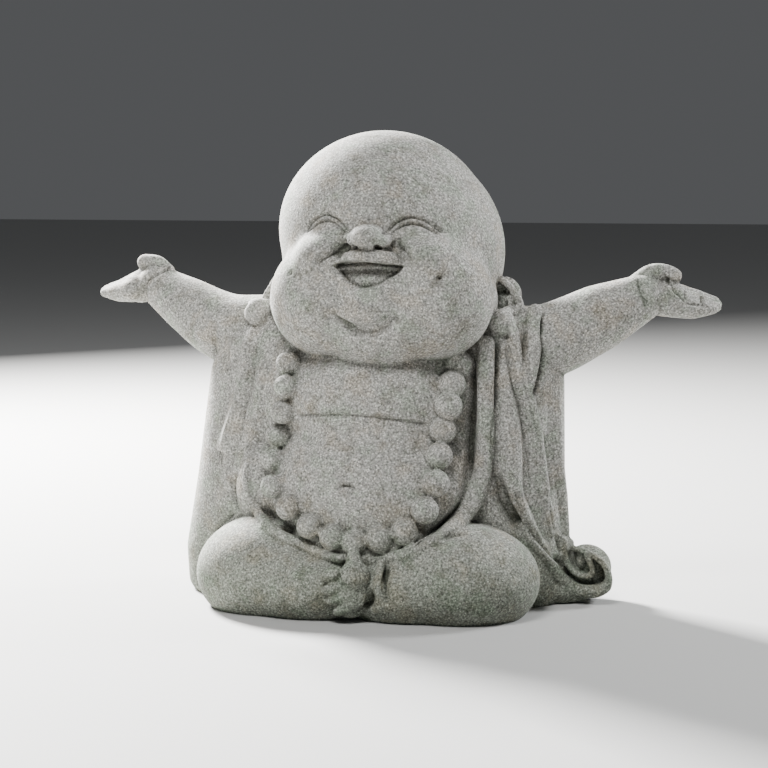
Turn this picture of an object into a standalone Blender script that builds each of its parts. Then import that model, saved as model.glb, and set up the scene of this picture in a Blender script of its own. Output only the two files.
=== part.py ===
"""A seated, laughing monk with both arms thrown wide, cast in one piece in fine sandstone.

The figure is laid out on a grid 125 units high. x runs to the figure's left hand, y to its back and
z up, and the origin is on the flat underside, below the middle of the body.
"""

import math

import bmesh
import bpy
import numpy as np
from mathutils import Euler, Matrix, Vector
from mathutils.bvhtree import BVHTree

HEIGHT = 0.125

# The clay is fused on one grid for the big masses and on a finer one for the modelled forms.
MASS_GRID = 1.2
FORM_GRID = 0.62
TRIANGLES = 9400

FACE_X = 3.3
BEAD = 3.3
BEADS = 19

# The corners and lower edge of the open mouth, drawn on the front of the face
MOUTH = [(-6.4, 90.4), (-3.6, 91.5), (0, 91.5), (3.5, 91.2), (7, 90.8), (11.6, 90.4)]
MOUTH += [(10.3, 88.3), (8, 86.7), (5.9, 85.3), (2.6, 84.5), (-0.3, 84.8), (-2.6, 86.1), (-4.6, 88.2)]
# One line for each laughing eye
EYES = [
    [(-14, 98.9), (-11.6, 100.7), (-8.5, 101.5), (-5.8, 100.7), (-3.6, 98.8)],
    [(8.8, 98.8), (11, 100.5), (13.6, 101.2), (16.5, 100.5), (19.5, 98.6)],
]
# The line along the toes' ends, and each toe's middle in x and z, half length and half thickness
TOE_ENDS = [(-5.5, 12.6), (-5, 9), (-4.4, 6), (-3, 3)]
TOES = [(-3.9, 13.6, 2.4, 1.7), (-2.8, 10.1, 3.7, 1.35), (-2, 7.2, 3.8, 1.45), (-1, 4.3, 3.6, 1.5)]
# The cloak's outline at a few heights: height, half width, middle in x, middle in y, half depth
CLOAK = [
    (-4, 48, -1.5, 5, 22),
    (2, 52, -2, 5, 24),
    (12, 52.6, -2, 5, 24),
    (32, 50, -1.2, 5, 24),
    (60, 48, 0.5, 5, 22),
    (70, 45, 0, 6, 20),
    (78, 38, 0, 7, 16),
    (83, 26, 0, 8, 10),
]
CLOAK_SQUARENESS = 2.4
# Creases of the skin and the cloth, each with its width and depth
CREASES = [
    ([(-5.5, 78.3), (-2.9, 75.8), (1.5, 73.8), (6.4, 74.1), (9, 76), (9.7, 77.7)], 1.4, 0.7),
    ([(-18.4, 88.5), (-18.5, 87.2)], 1.2, 0.8),
    ([(21.5, 87.9), (21.5, 86.4)], 1.2, 0.8),
    ([(-18, 51), (-9, 51.7), (0, 51.8), (10, 50.6), (17, 49.2)], 1.4, 0.6),
    ([(-4, 34.3), (-1.8, 33.8), (0.4, 34.1)], 1.3, 0.8),
    ([(-34.3, 79), (-36.2, 76.9), (-37.8, 74.7)], 1.5, 0.9),
    ([(-31.9, 72), (-33.2, 68), (-34.5, 64.3), (-35.4, 59.7)], 1.8, 0.8),
    ([(-35.2, 57), (-37, 51.5), (-38.4, 44.5), (-40, 38), (-42, 31)], 2.4, 0.7),
    ([(-34.7, 24.8), (-31.5, 23.8), (-27.4, 21.2)], 1.5, 0.8),
    ([(22, 21.2), (25.5, 22.3), (29.3, 22.4)], 1.4, 0.8),
    ([(32.9, 70.2), (33.1, 61.9), (33, 54.7), (32.4, 42.6), (33, 35.6), (34.3, 25.1)], 1.5, 1.6),
    ([(35.1, 68.6), (36.2, 60.4), (37.1, 54.6), (39.2, 46.9), (40.8, 41.7), (41.4, 36)], 1.2, 1.0),
    ([(39.1, 78.4), (39.3, 71.4), (39.8, 64.4), (40.2, 57.4)], 1.3, 1.5),
    ([(40.2, 57.4), (42.5, 54.6), (43.8, 44.7), (45.1, 35.4), (46.8, 21.8), (49.2, 13)], 1.4, 1.1),
    ([(44.9, 78.9), (45, 71.3), (44, 64.3), (43.2, 57)], 1.2, 0.9),
    ([(6, 10.4), (5.9, 7), (6, 4.6)], 1.6, 2.4),
    ([(10.3, 15), (9.6, 11.4), (9.9, 7), (11.2, 4.8)], 1.3, 1.6),
]


def spline(points, count):
    """Points along a smooth curve through the given points, evenly spread over its spans."""
    rows = np.array(points, float)
    rows = np.vstack([2 * rows[0] - rows[1], rows, 2 * rows[-1] - rows[-2]])
    at = np.linspace(0, len(points) - 1, count)
    first = np.minimum(at.astype(int), len(points) - 2)
    t = (at - first)[:, None]
    a, b, c, d = (rows[first + i] for i in range(4))
    return 0.5 * (2 * b + (c - a) * t + (2 * a - 5 * b + 4 * c - d) * t**2 + (3 * b - a - 3 * c + d) * t**3)


def ball(facets):
    """A ball of radius 1, which lumps and rolls of clay are made from."""
    name = f"ball {facets}"
    if name not in bpy.data.meshes:
        clay = bmesh.new()
        bmesh.ops.create_icosphere(clay, subdivisions=facets, radius=1)
        clay.to_mesh(bpy.data.meshes.new(name))
        clay.free()
    return bpy.data.meshes[name]


def lump(clay, at, radii, turn=(0, 0, 0), facets=3):
    """Adds an ellipsoid of clay: its centre, its three radii and its turn in degrees."""
    turned = Euler([math.radians(a) for a in turn]).to_matrix().to_4x4()
    shape = ball(facets).copy()
    shape.transform(Matrix.Translation(at) @ turned @ Matrix.Diagonal((*radii, 1)))
    clay.from_mesh(shape)
    bpy.data.meshes.remove(shape)


def roll(clay, path, radii, pitch=0.4):
    """Adds a tapering roll of clay: pellets set close together along a smooth path."""
    rows = spline(path, 8 * len(path))
    length = np.linalg.norm(np.diff(rows, axis=0), axis=1).sum()
    count = max(4, int(length / (pitch * min(radii))))
    stations = np.linspace(0, 1, len(radii))
    for i, at in enumerate(spline(path, count)):
        radius = float(np.interp(i / (count - 1), stations, radii))
        lump(clay, at, (radius, radius, radius), facets=2)


def object_from(clay, name):
    """Turns the clay into a mesh object."""
    mesh = bpy.data.meshes.new(name)
    clay.to_mesh(mesh)
    clay.free()
    thing = bpy.data.objects.new(name, mesh)
    bpy.context.scene.collection.objects.link(thing)
    return thing


def apply_modifiers(thing):
    """Replaces an object's mesh by what its modifiers make of it."""
    graph = bpy.context.evaluated_depsgraph_get()
    mesh = bpy.data.meshes.new_from_object(thing.evaluated_get(graph))
    thing.modifiers.clear()
    thing.data = mesh


def fuse(thing, grid, rounds):
    """Fuses overlapping clay into one skin and softens where the masses meet."""
    remesh = thing.modifiers.new("fuse", "REMESH")
    remesh.mode = "VOXEL"
    remesh.voxel_size = grid
    if rounds:
        smooth = thing.modifiers.new("soften", "SMOOTH")
        smooth.factor = 0.5
        smooth.iterations = rounds
    apply_modifiers(thing)


def skin_of(thing):
    """A search tree over an object's faces."""
    mesh = thing.data
    return BVHTree.FromPolygons([v.co for v in mesh.vertices], [p.vertices[:] for p in mesh.polygons])


def on_front(skin, points):
    """Where the points of a drawing in x and z fall on the front of the figure."""
    found = []
    for x, z in points:
        hit = skin.ray_cast(Vector((x, -100, z)), Vector((0, 1, 0)))[0]
        if hit is not None:
            found.append(hit)
    return np.array(found)


def distance_to(places, path):
    """Distance from each place to a path of straight runs."""
    nearest = np.full(len(places), 1e9)
    for a, b in zip(path, path[1:]):
        run = b - a
        share = np.clip((places - a) @ run / max(run @ run, 1e-9), 0, 1)
        nearest = np.minimum(nearest, np.linalg.norm(places - a - share[:, None] * run, axis=1))
    return nearest


class Surface:
    """The skin of the figure as arrays, so that strokes of the tool can move it."""

    def __init__(self, thing):
        self.mesh = thing.data
        self.skin = skin_of(thing)
        self.places = np.zeros(3 * len(self.mesh.vertices), np.float32)
        self.mesh.vertices.foreach_get("co", self.places)
        self.places = self.places.reshape(-1, 3).astype(float)
        self.normals = np.array([n.vector[:] for n in self.mesh.vertex_normals], float)

    def stroke(self, path, width, depth):
        """Raises (or, with a negative depth, cuts) the skin along a path, fading out over the width."""
        path = np.array(path, float)
        low, high = path.min(axis=0) - width, path.max(axis=0) + width
        near = np.all((self.places > low) & (self.places < high), axis=1)
        away = distance_to(self.places[near], path) / width
        self.places[near] += self.normals[near] * (depth * np.clip(1 - away, 0, 1) ** 1.4)[:, None]

    def front_path(self, points):
        """A smooth line drawn in x and z, laid on the front of the figure."""
        return on_front(self.skin, spline([(x, 0, z) for x, z in points], 24)[:, (0, 2)])

    def stroke_on_front(self, points, width, depth):
        self.stroke(self.front_path(points), width, depth)

    def press(self, outline, edge, depth):
        """Pushes the skin back inside an outline drawn on the front, with walls as wide as the edge."""
        ring = spline([(x, 0, z) for x, z in outline + outline[:1]], 60)
        flat = self.places * (1, 0, 1)
        low, high = ring.min(axis=0), ring.max(axis=0)
        near = np.all((flat >= low) & (flat <= high), axis=1) & (self.places[:, 1] < -15)
        spots = flat[near]
        within = np.zeros(len(spots), bool)
        for a, b in zip(ring, ring[1:]):
            crosses = (a[2] > spots[:, 2]) != (b[2] > spots[:, 2])
            at = a[0] + (spots[:, 2] - a[2]) * (b[0] - a[0]) / (b[2] - a[2] if b[2] != a[2] else 1)
            within ^= crosses & (spots[:, 0] < at)
        share = np.clip(distance_to(spots, ring) / edge, 0, 1) * within
        self.places[near, 1] += depth(self.places[near]) * share * share * (3 - 2 * share)

    def finish(self):
        self.mesh.vertices.foreach_set("co", self.places.astype(np.float32).ravel())
        self.mesh.update()


def add(clay, thing):
    """Puts a finished mass into the clay and removes its object."""
    clay.from_mesh(thing.data)
    bpy.data.objects.remove(thing)


def head():
    """Round skull over heavy jowls, thrown back a little."""
    clay = bmesh.new()
    lump(clay, (2.9, 3.5, 92.5), (29.8, 30, 29), facets=4)
    lump(clay, (0.5, 3.5, 98.5), (28.3, 28.5, 26.1), facets=4)
    lump(clay, (1.8, -4, 79.8), (30.6, 25, 16.6), facets=4)
    for side in (-1, 1):
        lump(clay, (FACE_X + side * 13.5, -14, 81), (16, 15.5, 16), facets=4)
        lump(clay, (FACE_X + side * 12.5, -16, 91), (11.5, 12, 8.6))
    lump(clay, (FACE_X, -17, 83), (14, 13.6, 13))
    lump(clay, (FACE_X, -15, 75), (19, 14.5, 12.5))
    thing = object_from(clay, "head")
    fuse(thing, MASS_GRID, 16)
    return thing


def trunk():
    """Belly and chest, bare between the edges of the robe, and the robe over the right flank."""
    clay = bmesh.new()
    lump(clay, (0, -7, 30), (31, 26, 24), facets=4)
    lump(clay, (0, -5.5, 54), (29, 22, 18), facets=4)
    lump(clay, (0, -1, 66), (31, 19, 14), facets=4)
    lump(clay, (-23, -9, 30), (11.5, 13, 15))
    lump(clay, (-20.5, -6, 52), (11, 13, 20))
    thing = object_from(clay, "trunk")
    fuse(thing, MASS_GRID, 14)
    return thing


def leg(side, centre, radii):
    """One folded leg: a knee at the side and a shin that runs in to the middle."""
    clay = bmesh.new()
    lump(clay, centre, radii, facets=4)
    lump(clay, (side * 13, -21, 7), (21, 18.5, 12), facets=4)
    thing = object_from(clay, "leg")
    fuse(thing, MASS_GRID, 16)
    return thing


def cloak():
    """The cloak hangs from the arms like a curtain round the back and both sides."""
    clay = bmesh.new()
    around, up = 120, 60
    bmesh.ops.create_cone(clay, cap_ends=True, segments=around, radius1=1, radius2=1, depth=2)
    upright = [e for e in clay.edges if abs(e.verts[0].co.z - e.verts[1].co.z) > 1]
    bmesh.ops.subdivide_edges(clay, edges=upright, cuts=up, use_grid_fill=True)
    table = np.array(CLOAK, float)
    for vert in clay.verts:
        share = (vert.co.z + 1) / 2
        z = float(np.interp(share, (0, 1), (table[0, 0], table[-1, 0])))
        half, mid_x, mid_y, deep = (float(np.interp(z, table[:, 0], table[:, i])) for i in (1, 2, 3, 4))
        angle = math.atan2(vert.co.y, vert.co.x)
        c, s = math.cos(angle), math.sin(angle)
        reach = (abs(c) ** CLOAK_SQUARENESS + abs(s) ** CLOAK_SQUARENESS) ** (-1 / CLOAK_SQUARENESS)
        pleat = folds(angle, z)
        vert.co = (mid_x + (half + pleat) * reach * c, mid_y + (deep + pleat) * reach * s, z)
    thing = object_from(clay, "cloak")
    fuse(thing, MASS_GRID, 3)
    return thing


def folds(angle, z):
    """How far the cloak stands out at the back: soft pleats that fan out towards the hem."""
    back = max(0.0, math.sin(angle))
    wave = math.sin(9 * angle + 0.6 * math.sin(2.3 * angle) + 0.012 * z)
    return 1.1 * back * wave * (1 - 0.55 * z / 80)


def arms():
    """Both arms, thick at the shoulder, raised to the sides and swept a little back."""
    clay = bmesh.new()
    roll(clay, [(-32, 4, 70), (-44, 6, 71), (-56, 10, 76.7), (-66.5, 14, 82.2)], [10.5, 9.6, 7.8, 5.4])
    roll(clay, [(32, 4, 68), (44, 6, 69), (57, 10, 75), (68.5, 14, 80.5)], [10.5, 10, 9.0, 6.2])
    thing = object_from(clay, "arms")
    fuse(thing, MASS_GRID, 4)
    return thing


def hand(clay, side, wrist, tip, thumb):
    """An open hand, palm up: four fingers side by side, and the thumb on top."""
    wrist, tip = np.array(wrist, float), np.array(tip, float)
    along = tip - wrist
    across = np.array((0, -3.4, -2.2))
    palm = wrist + 0.25 * along
    lump(clay, palm, (6.2, 5.6, 4.6), turn=(25, side * 8, 0))
    for i in range(4):
        shift = (i - 1.5) / 1.5
        root = wrist + 0.3 * along + across * shift * 0.95
        end = tip - abs(shift - 0.2) * 0.12 * along + across * shift * 0.75
        middle = (root + end) / 2 - np.array((0, 0, 0.7))
        roll(clay, [root, middle, end], [2.3, 2.0, 1.35])
    roll(clay, thumb, [2.8, 2.6, 2.2])


def ear(clay, at, lobe, side):
    """A long ear: a rim that stands off the head round a hollow, over a heavy round lobe."""
    x, y, z = at
    rim = [(-3.8, 0.5, 4.2), (-2, 0.5, 5.2), (0, 0, 4.4)]
    rim += [(2.4, -0.5, 2.2), (4.5, -0.5, -1.7), (3.6, -1.5, -3.7)]
    inner = [(-3.8, -3, 4), (-4.1, -4.5, 1), (-3.2, -5, -2), (-1, -4.5, -4)]
    roll(clay, [(x + side * i, y + j, z + k) for i, j, k in rim], [0.9, 1.0, 1.0, 1.0, 1.1, 1.1])
    roll(clay, [(x + side * i, y + j, z + k) for i, j, k in inner], [1.0, 1.0, 1.0, 1.2])
    lump(clay, (x, y + 2.5, z + 0.3), (4.6, 1.7, 5.2))
    lump(clay, (x + side * 1.8, y + 0.6, z - 1), (1.4, 1.4, 2.6), turn=(0, side * 20, 0))
    roll(clay, [(x + side * 1.8, y - 1.5, z - 3.6), (lobe[0], lobe[1] + 1.5, lobe[2] + 2)], [1.8, 1.8])
    lump(clay, lobe, (3.8, 3.7, 3.8))


def face(clay):
    """A button nose and the upper lip of a wide laugh, laid on the head."""
    x = FACE_X + 0.4
    lump(clay, (x, -27.6, 98), (4.6, 6, 3.4))
    lump(clay, (x, -28.5, 96.8), (4.4, 5.4, 2.6))
    for side in (-1, 1):
        lump(clay, (x + side * 4.3, -27.6, 96.4), (2.2, 3.6, 2.2))
    lip = [(-9.6, -24.6, 90.3), (-5, -29.4, 92.7), (0, -30.6, 93.2), (5, -29.4, 92.6), (9.2, -25.6, 90.3)]
    roll(clay, [(FACE_X + i, j, k) for i, j, k in lip], [1.0, 1.9, 2.1, 1.9, 1.0])
    lump(clay, (FACE_X - 1, -25.6, 77.2), (7.6, 5.2, 3.9))


def necklace(clay, skin):
    """A string of round beads that hangs over the chest and belly, with a fluted drop."""
    path = [(-22, 64), (-21.5, 55), (-24, 45), (-24.5, 36), (-20.5, 28), (-12.5, 23), (-0.3, 20.5)]
    path += [(11, 22), (18.5, 28.5), (20.8, 38), (21.3, 48), (23, 58), (24.5, 65)]
    line = on_front(skin, spline([(x, 0, z) for x, z in path], 200)[:, (0, 2)])
    run = np.concatenate([[0], np.cumsum(np.linalg.norm(np.diff(line, axis=0), axis=1))])
    for at in np.linspace(0, run[-1], BEADS):
        x, y, z = (float(np.interp(at, run, line[:, i])) for i in range(3))
        size = BEAD * (1 + 0.004 * x)
        lump(clay, (x, y - 0.45 * size, z), (size, size, size))
    lump(clay, (1.3, -35, 17.2), (1.7, 2.2, 2.0))
    x, y, z = 1.6, -37.4, 12.6
    lump(clay, (x, y, z), (3.7, 3.5, 3.7))
    for i in range(12):
        turn = 2 * math.pi * i / 12
        c, s = math.cos(turn), math.sin(turn)
        flute = [(2 * c, 2 * s, 3.2), (3.8 * c, 3.6 * s, 0), (2 * c, 2 * s, -3.2)]
        roll(clay, [(x + i, y + j, z + k) for i, j, k in flute], [0.5, 0.75, 0.5])


def robe(clay):
    """The robe's turned edge round the belly and the long folds that fall from the left shoulder."""
    edge = [(-29.5, -15.5, 52), (-31, -17, 40), (-30.2, -20, 31), (-26.5, -24.5, 23), (-18, -29, 17.2)]
    edge += [(-6, -31.5, 14.2), (9, -31.5, 15), (20, -30, 19.5), (27, -24, 27)]
    edge += [(30.3, -18.5, 38), (31, -17, 50), (30.5, -14, 64), (29, -9, 73)]
    roll(clay, edge, [1.0, 1.2, 1.3, 1.2, 1.2, 1.3, 1.7, 2.4, 2.8, 2.9, 2.7])
    fold = [(33.5, -5, 74), (34.7, -10, 60), (36, -11, 47), (38, -11, 32), (42.5, -8.8, 21), (48, -4.5, 13.5)]
    roll(clay, fold, [1.8, 2.0, 2.8, 2.6, 2.3, 2.2])
    fold = [(37.6, -3, 75), (38.2, -8.6, 60), (41, -8.6, 47), (43.8, -7, 33), (46.6, -4.2, 19)]
    roll(clay, fold, [1.8, 1.9, 1.9, 1.7, 1.4])
    fold = [(42, 3.5, 76.6), (42.2, -3, 70), (41.8, -5.6, 62), (42.3, -6.6, 52)]
    roll(clay, fold, [2.6, 2.8, 2.2, 1.5])
    fold = [(47.3, 4, 62), (47.4, 3, 46), (48.2, 3, 33), (49.2, 2.5, 22), (49.8, 2, 14)]
    roll(clay, fold, [1.2, 1.3, 1.4, 1.4, 1.4])
    # The bulge of cloth between the right knee and the belly
    lump(clay, (-28.4, -11.8, 31), (7.7, 9.2, 12.5), facets=4)


def scroll(clay):
    """The hem at the left side, swept outward and curled over like a wave."""
    rim = [(48.5, 10.9), (51.9, 6.3), (56.5, 3.4), (60.1, 4), (61.4, 6.4), (60.8, 9.6), (58.8, 12)]
    rim += [(55.8, 13.6), (50.4, 14.4)]
    rim_radii = [2.1, 2.4, 2.3, 1.5, 1.1, 1.0, 0.9, 0.9, 1.0]
    curl = [(50, 14), (50.8, 10.6), (52.6, 8.4), (54.8, 7.6), (56.4, 8.8), (56.4, 11), (55.4, 13)]
    for i, y in enumerate((0.5, 3.5, 6.5, 9.5)):
        shrink = 1 - 0.07 * i
        for line, radii in ((rim, rim_radii), (curl, [1.0, 1.0, 0.9, 0.8])):
            roll(clay, [(54 + (x - 54) * shrink, y, 2 + (z - 2) * shrink) for x, z in line], radii)
    lump(clay, (55, 7.5, 8.4), (6.4, 5, 5.8))
    roll(clay, [(44, 1, 4), (50, 1, 3), (56, 2, 2)], [4.5, 3.4, 2.2])


def foot(clay):
    """One foot shows between the shins, under the drop: its toes, and the hem of the trouser leg."""
    lump(clay, (1.5, -35.4, 8), (5.5, 3.6, 6.8))
    for x, z, length, thick in TOES:
        lump(clay, (x, -38, z), (length, 1.9, thick), turn=(0, -18, 0))
    hem = [(8.6, -36, 15.4), (7.9, -37.6, 11.9), (8.5, -38, 6.8), (10.4, -38, 3.2), (13.5, -38, 1.6)]
    roll(clay, hem, [1.2, 1.3, 1.3, 1.2, 1.0])


def opening(places):
    """How deep the laughing mouth is at each place inside its outline, deepest under the upper lip."""
    return 1.1 + 2.4 * np.clip((places[:, 2] - 85) / 5.5, 0, 1) ** 1.5


def carve(thing):
    """Lines cut with the tool: eyes, mouth, chin, creases of the body and the valleys of the robe."""
    surface = Surface(thing)
    surface.press(MOUTH, 1.1, opening)
    for line in EYES:
        surface.stroke_on_front(line, 1.9, -1.4)
    for side in (-1, 1):
        cheek = [(7.6, 95.6), (10, 92.8), (11.5, 90)]
        surface.stroke_on_front([(FACE_X + side * x, z) for x, z in cheek], 1.8, -0.9)
    for line, width, depth in CREASES:
        surface.stroke_on_front(line, width, -depth)
    surface.finish()


def thin_out(thing, lines, margin):
    """Thins the mesh where it curves least, down to the triangles set, but not near some lines."""
    surface = Surface(thing)
    spots = set()
    for line in lines:
        near = distance_to(surface.places, surface.front_path(line)) < margin
        spots.update(np.nonzero(near)[0].tolist())
    thing.vertex_groups.new(name="fine").add(sorted(spots), 1, "REPLACE")
    thin = thing.modifiers.new("thin out", "DECIMATE")
    thin.ratio = TRIANGLES / sum(len(polygon.vertices) - 2 for polygon in thing.data.polygons)
    thin.vertex_group = "fine"
    thin.invert_vertex_group = True
    apply_modifiers(thing)


def cut_base(thing):
    """Cuts the underside flat, so that the figure sits on it."""
    clay = bmesh.new()
    clay.from_mesh(thing.data)
    bmesh.ops.bisect_plane(
        clay,
        geom=clay.verts[:] + clay.edges[:] + clay.faces[:],
        dist=1e-4,
        plane_co=(0, 0, 0),
        plane_no=(0, 0, 1),
        clear_inner=True,
    )
    rim = [edge for edge in clay.edges if edge.is_boundary]
    bmesh.ops.holes_fill(clay, edges=rim, sides=0)
    clay.to_mesh(thing.data)
    clay.free()


def sandstone():
    """Light grey, matt, fine-grained stone."""
    stone = bpy.data.materials.new("sandstone")
    stone.use_nodes = True
    shader = stone.node_tree.nodes["Principled BSDF"]
    shader.inputs["Base Color"].default_value = (0.40, 0.39, 0.365, 1)
    shader.inputs["Roughness"].default_value = 0.92
    shader.inputs["Metallic"].default_value = 0
    return stone


def build():
    """Puts the figure together, carves it and brings it to its real size."""
    clay = bmesh.new()
    body = trunk()
    necklace(clay, skin_of(body))
    for mass in (head(), body, cloak(), arms()):
        add(clay, mass)
    add(clay, leg(-1, (-25, -18, 9), (20.5, 19, 15.5)))
    add(clay, leg(1, (25, -20, 9), (21.2, 20, 15)))
    face(clay)
    robe(clay)
    scroll(clay)
    foot(clay)
    left_thumb = [(70, 16.5, 83.5), (73, 17.5, 86), (77, 17.5, 85.8)]
    right_thumb = [(-66.5, 15.5, 85.5), (-69, 16, 87.8), (-72.5, 16.5, 87)]
    hand(clay, 1, (69, 14, 80.2), (87, 21, 79), left_thumb)
    hand(clay, -1, (-67.5, 14, 82), (-84, 20, 79.5), right_thumb)
    ear(clay, (31.6, 0.5, 80.6), (33.3, -6.5, 74.3), 1)
    ear(clay, (-27.2, 1, 81), (-31.9, -6, 76.4), -1)
    statue = object_from(clay, "monk_statue")
    fuse(statue, FORM_GRID, 2)
    carve(statue)
    thin_out(statue, EYES + [TOE_ENDS], 1.7)
    cut_base(statue)
    top = max(vert.co.z for vert in statue.data.vertices)
    statue.data.transform(Matrix.Scale(HEIGHT / top, 4))
    statue.data.materials.append(sandstone())
    statue.data.shade_smooth()
    return statue


for old in list(bpy.data.objects):
    bpy.data.objects.remove(old)

group = bpy.data.collections.new("monk statue")
bpy.context.scene.collection.children.link(group)
statue = build()
bpy.context.scene.collection.objects.unlink(statue)
group.objects.link(statue)
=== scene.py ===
"""The finished looks of a small cast sandstone monk, seated and laughing with both arms thrown wide."""

import math

import bmesh
import bpy
import numpy as np
from mathutils import Euler, Matrix, Vector
from mathutils.bvhtree import BVHTree


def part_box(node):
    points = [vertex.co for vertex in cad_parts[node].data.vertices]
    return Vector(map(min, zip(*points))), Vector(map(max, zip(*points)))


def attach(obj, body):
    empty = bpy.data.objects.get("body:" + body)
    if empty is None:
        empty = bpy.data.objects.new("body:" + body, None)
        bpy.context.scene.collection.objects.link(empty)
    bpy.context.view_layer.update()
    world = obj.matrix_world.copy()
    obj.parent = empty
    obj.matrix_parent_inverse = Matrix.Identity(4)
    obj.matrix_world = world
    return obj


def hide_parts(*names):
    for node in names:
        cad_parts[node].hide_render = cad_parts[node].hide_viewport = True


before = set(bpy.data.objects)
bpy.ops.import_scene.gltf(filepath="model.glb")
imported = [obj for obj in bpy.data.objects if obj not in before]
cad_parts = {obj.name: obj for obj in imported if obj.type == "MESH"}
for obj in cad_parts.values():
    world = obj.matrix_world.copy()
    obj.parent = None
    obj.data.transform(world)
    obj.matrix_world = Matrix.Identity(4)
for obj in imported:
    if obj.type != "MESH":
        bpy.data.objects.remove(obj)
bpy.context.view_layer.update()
base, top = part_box("monk_statue")

# The camera looks from a little to the figure's left and slightly from above, as the photo does.
# The figure is modelled in its own millimetres, and UNIT brings these to the frame's metres.
FIGURE_HEIGHT = 125
UNIT = (top.z - base.z) / FIGURE_HEIGHT
CAMERA_AZIMUTH = 12
CAMERA_ELEVATION = 6
CAMERA_DISTANCE = 600
CAMERA_AIM = Vector((1, 0, 57.2))
SENSOR_WIDTH = 36
FOCAL_LENGTH = 105.4
NEAREST_SEEN = 0.01

lens = bpy.data.cameras.new("photo camera")
lens.sensor_width = SENSOR_WIDTH
lens.lens = FOCAL_LENGTH
lens.clip_start = NEAREST_SEEN
camera = bpy.data.objects.new("photo camera", lens)
bpy.context.scene.collection.objects.link(camera)
azimuth, elevation = math.radians(CAMERA_AZIMUTH), math.radians(CAMERA_ELEVATION)
backward = Vector((
    math.sin(azimuth) * math.cos(elevation),
    -math.cos(azimuth) * math.cos(elevation),
    math.sin(elevation),
))
camera.location = UNIT * (CAMERA_AIM + CAMERA_DISTANCE * backward)
camera.rotation_euler = backward.to_track_quat("Z", "Y").to_euler()
bpy.context.scene.camera = camera


# The trunk: bare chest and round belly, with the robe drawn tight over the right flank.
# It is modelled as lumps of clay, which are fused and smoothed into one soft mass.
MASS_GRID = 1.0


def ball(facets):
    """A round ball of clay, made once for each fineness."""
    name = f"ball {facets}"
    if name not in bpy.data.meshes:
        clay = bmesh.new()
        bmesh.ops.create_icosphere(clay, subdivisions=facets, radius=1)
        clay.to_mesh(bpy.data.meshes.new(name))
        clay.free()
    return bpy.data.meshes[name]


def lump(clay, at, radii, turn=(0, 0, 0), facets=3):
    """Presses a round lump onto the clay, turned by angles in degrees."""
    mesh = ball(facets).copy()
    angles = Euler([math.radians(angle) for angle in turn])
    mesh.transform(Matrix.LocRotScale(Vector(at), angles, Vector(radii)))
    clay.from_mesh(mesh)
    bpy.data.meshes.remove(mesh)


def object_from(clay, name):
    """Turns the clay into an object."""
    mesh = bpy.data.meshes.new(name)
    clay.to_mesh(mesh)
    clay.free()
    thing = bpy.data.objects.new(name, mesh)
    bpy.context.scene.collection.objects.link(thing)
    return thing


def apply_modifiers(thing):
    """Replaces an object's mesh by what its modifiers make of it."""
    graph = bpy.context.evaluated_depsgraph_get()
    mesh = bpy.data.meshes.new_from_object(thing.evaluated_get(graph))
    thing.modifiers.clear()
    thing.data = mesh


def fuse(thing, grid, rounds):
    """Fuses overlapping clay into one skin and softens where the lumps meet."""
    remesh = thing.modifiers.new("fuse", "REMESH")
    remesh.mode = "VOXEL"
    remesh.voxel_size = grid
    soften = thing.modifiers.new("soften", "SMOOTH")
    soften.factor = 0.5
    soften.iterations = rounds
    apply_modifiers(thing)
    return thing


trunk_clay = bmesh.new()
lump(trunk_clay, (0, -7, 30), (31, 26, 24), facets=4)
lump(trunk_clay, (0, -5.5, 54), (29, 22, 18), facets=4)
lump(trunk_clay, (0, -1, 66), (31, 19, 14), facets=4)
lump(trunk_clay, (-23, -9, 30), (11.5, 13, 15))
lump(trunk_clay, (-20.5, -6, 52), (11, 13, 20))
trunk = fuse(object_from(trunk_clay, "trunk"), MASS_GRID, rounds=45)


# The head: a high bald skull over heavy round jowls, thrown back a little as the figure laughs.
# It is one mass of its own, so that it keeps a sharp crease where it sits on the chest.
FACE_X = 3.3

head_clay = bmesh.new()
lump(head_clay, (2.9, 3.5, 92.5), (29.8, 30, 29), facets=4)
lump(head_clay, (0.5, 3.5, 98.5), (28.3, 28.5, 26.1), facets=4)
lump(head_clay, (1.8, -4, 79.8), (30.6, 25, 16.6), facets=4)
lump(head_clay, (FACE_X, -17, 83), (14, 13.6, 13))
lump(head_clay, (FACE_X, -15, 75), (19, 14.5, 12.5))
for side in (-1, 1):
    lump(head_clay, (FACE_X + side * 13.5, -14, 81), (16, 15.5, 16), facets=4)
    lump(head_clay, (FACE_X + side * 13.2, -19, 91.4), (9, 11, 7.4))
head = fuse(object_from(head_clay, "head"), MASS_GRID, rounds=16)


# The legs: two thick folded shins in trousers that meet in front, knees out to the sides.
# Each is a soft mass like the trunk, and they rest on the ground along their whole length.
def leg(side, centre, radii):
    """One knee at the side, and a shin that runs in from it to the middle."""
    clay = bmesh.new()
    lump(clay, centre, radii, facets=4)
    lump(clay, (side * 13, -21, 7), (21, 18.5, 12), facets=4)
    return fuse(object_from(clay, "leg"), MASS_GRID, rounds=20)


right_leg = leg(-1, (-25, -18, 9), (20.5, 19, 15.5))
left_leg = leg(1, (25, -20, 9), (21.2, 20, 15))


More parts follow.
